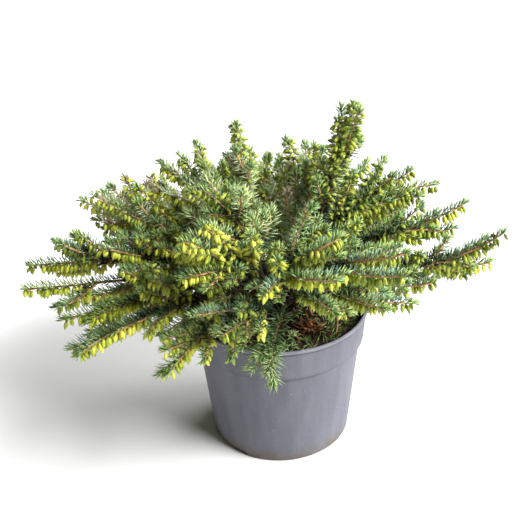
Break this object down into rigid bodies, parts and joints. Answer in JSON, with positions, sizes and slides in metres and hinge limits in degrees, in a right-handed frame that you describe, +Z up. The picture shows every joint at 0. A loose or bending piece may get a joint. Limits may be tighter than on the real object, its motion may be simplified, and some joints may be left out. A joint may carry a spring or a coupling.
{
  "type": "potted winter heath shrub in bud",
  "caption": "Low spreading evergreen heath shrub, a dome of needle-leaved shoots with hanging buds, in a round tapered plastic nursery pot.",
  "frame": {"origin": "centre of the pot's flat underside", "axes": "+Z up, -Y towards the viewer of the picture, +X towards the viewer's right, along the crown's greatest width"},
  "size_m": [0.4489, 0.3072, 0.335],
  "materials": {
    "pot": "dull injection-moulded grey plastic, faintly marbled, a little soiled at its foot",
    "soil": "moist fibrous peat potting mix with bark crumbs",
    "bark": "thin reddish brown heath bark, ridged by old leaf scars",
    "foliage": "narrow dark green needle leaves with a waxy sheen, and pointed lime-yellow buds"
  },
  "bodies": {
    "root": {"pot": "pot", "soil": "soil", "stock": "bark", "bough_skirt_01": "bark", "mass_skirt_01": "foliage", "bough_skirt_02": "bark", "mass_skirt_02": "foliage", "bough_skirt_03": "bark", "mass_skirt_03": "foliage", "bough_skirt_04": "bark", "mass_skirt_04": "foliage", "bough_skirt_05": "bark", "mass_skirt_05": "foliage", "bough_skirt_06": "bark", "mass_skirt_06": "foliage", "bough_skirt_07": "bark", "mass_skirt_07": "foliage", "bough_skirt_08": "bark", "mass_skirt_08": "foliage", "bough_skirt_09": "bark", "mass_skirt_09": "foliage", "bough_skirt_10": "bark", "mass_skirt_10": "foliage", "bough_skirt_11": "bark", "mass_skirt_11": "foliage", "bough_skirt_12": "bark", "mass_skirt_12": "foliage", "bough_shoulder_01": "bark", "mass_shoulder_01": "foliage", "bough_shoulder_02": "bark", "mass_shoulder_02": "foliage", "bough_shoulder_03": "bark", "mass_shoulder_03": "foliage", "bough_shoulder_04": "bark", "mass_shoulder_04": "foliage", "bough_shoulder_05": "bark", "mass_shoulder_05": "foliage", "bough_shoulder_06": "bark", "mass_shoulder_06": "foliage", "bough_shoulder_07": "bark", "mass_shoulder_07": "foliage", "bough_shoulder_08": "bark", "mass_shoulder_08": "foliage", "bough_shoulder_09": "bark", "mass_shoulder_09": "foliage", "bough_upper_01": "bark", "mass_upper_01": "foliage", "bough_upper_02": "bark", "mass_upper_02": "foliage", "bough_upper_03": "bark", "mass_upper_03": "foliage", "bough_upper_04": "bark", "mass_upper_04": "foliage", "bough_upper_05": "bark", "mass_upper_05": "foliage", "bough_upper_06": "bark", "mass_upper_06": "foliage", "bough_upper_07": "bark", "mass_upper_07": "foliage"}
  },
  "joints": []
}
